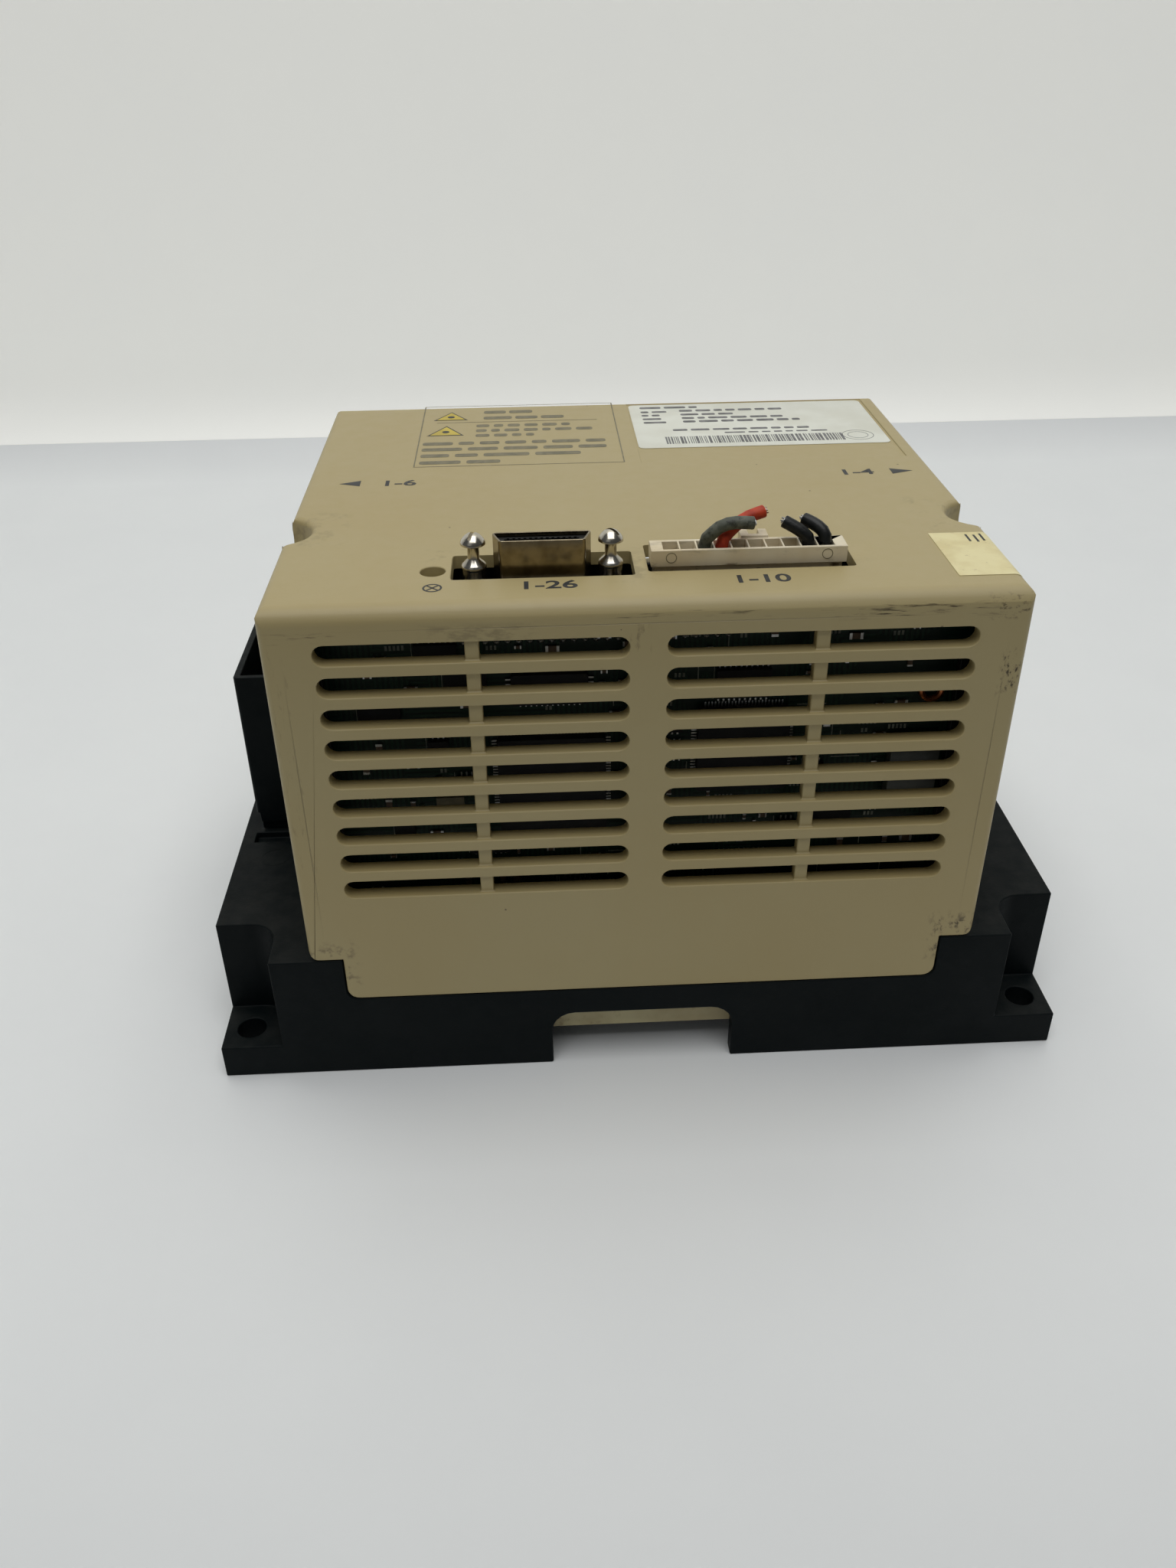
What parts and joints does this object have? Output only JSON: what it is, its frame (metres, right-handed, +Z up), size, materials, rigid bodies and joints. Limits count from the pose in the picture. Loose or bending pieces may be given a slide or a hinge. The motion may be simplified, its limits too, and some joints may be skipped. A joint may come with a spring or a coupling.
{
  "type": "servo drive",
  "caption": "Box-shaped servo drive on a flanged base: vented cover, ribbon port and wire plug on top, power sockets at the sides, finned heat sink and boards inside.",
  "frame": {"origin": "on the floor, under the middle of the base frame", "axes": "+X to the drive's right as seen from its vented front, +Y to its back, +Z up through the cover"},
  "size_m": [0.224, 0.1534, 0.1464],
  "materials": {
    "cover_plastic": "fine matt texture, warm beige, handled and scuffed",
    "base_plastic": "satin black moulding",
    "label_plastic": "printed strip, yellowed",
    "sink_aluminium": "extruded, mill finish",
    "circuit_board": "green solder mask",
    "plated_metal": "bright plating, slightly tarnished",
    "connector_black": "glass filled moulding",
    "connector_ivory": "ivory nylon",
    "fastener_steel": "zinc plated",
    "grey_insulation": "soft insulation",
    "red_insulation": "soft insulation",
    "black_insulation": "soft insulation",
    "lamp_lens": "diffused lens, unlit",
    "chip_epoxy": "moulded epoxy",
    "capacitor_sleeve": "shrink sleeve",
    "winding_copper": "enamelled wire"
  },
  "bodies": {
    "root": {"base_frame": "base_plastic", "left_socket_shroud": "base_plastic", "right_socket_shroud": "base_plastic", "label_plate": "label_plastic", "heat_sink": "sink_aluminium", "power_board": "circuit_board", "control_board": "circuit_board", "io_port_shell": "plated_metal", "jack_post_left": "plated_metal", "jack_post_right": "plated_metal", "io_port_insert": "connector_black", "io_port_body": "connector_black", "left_socket_contacts": "connector_black", "right_socket_contacts": "connector_black", "card_guide_left": "connector_black", "card_guide_right": "connector_black", "charge_relay": "connector_black", "insulating_sheet": "connector_black", "io_port_bracket": "fastener_steel", "wire_header": "connector_ivory", "board_link": "connector_ivory", "ready_lamp": "lamp_lens", "processor_chip": "chip_epoxy", "memory_chip": "chip_epoxy", "gate_array_chip": "chip_epoxy", "gate_transformer": "chip_epoxy", "current_sensor_left": "chip_epoxy", "current_sensor_right": "chip_epoxy", "line_choke": "winding_copper", "power_module_1": "chip_epoxy", "power_module_2": "chip_epoxy", "power_module_3": "chip_epoxy", "bus_capacitor_1": "capacitor_sleeve", "board_standoff_1": "fastener_steel", "board_screw_1": "fastener_steel", "heat_sink_screw_1": "fastener_steel", "bus_capacitor_2": "capacitor_sleeve", "board_standoff_2": "fastener_steel", "board_screw_2": "fastener_steel", "heat_sink_screw_2": "fastener_steel", "bus_capacitor_3": "capacitor_sleeve", "board_standoff_3": "fastener_steel", "board_screw_3": "fastener_steel", "heat_sink_screw_3": "fastener_steel", "bus_capacitor_4": "capacitor_sleeve", "board_standoff_4": "fastener_steel", "board_screw_4": "fastener_steel", "heat_sink_screw_4": "fastener_steel"},
    "cover": {"cover": "cover_plastic"},
    "wire_plug": {"wire_plug": "connector_ivory", "grey_wire": "grey_insulation", "red_wire": "red_insulation", "black_wire_inner": "black_insulation", "black_wire_outer": "black_insulation"}
  },
  "joints": [
    {"name": "cover_lift", "type": "slide", "parent": "root", "child": "cover", "axis": [0, 0, 1], "range_m": [0, 0.125]},
    {"name": "plug_pull", "type": "slide", "parent": "root", "child": "wire_plug", "axis": [0, 0, 1], "range_m": [0, 0.014]}
  ]
}
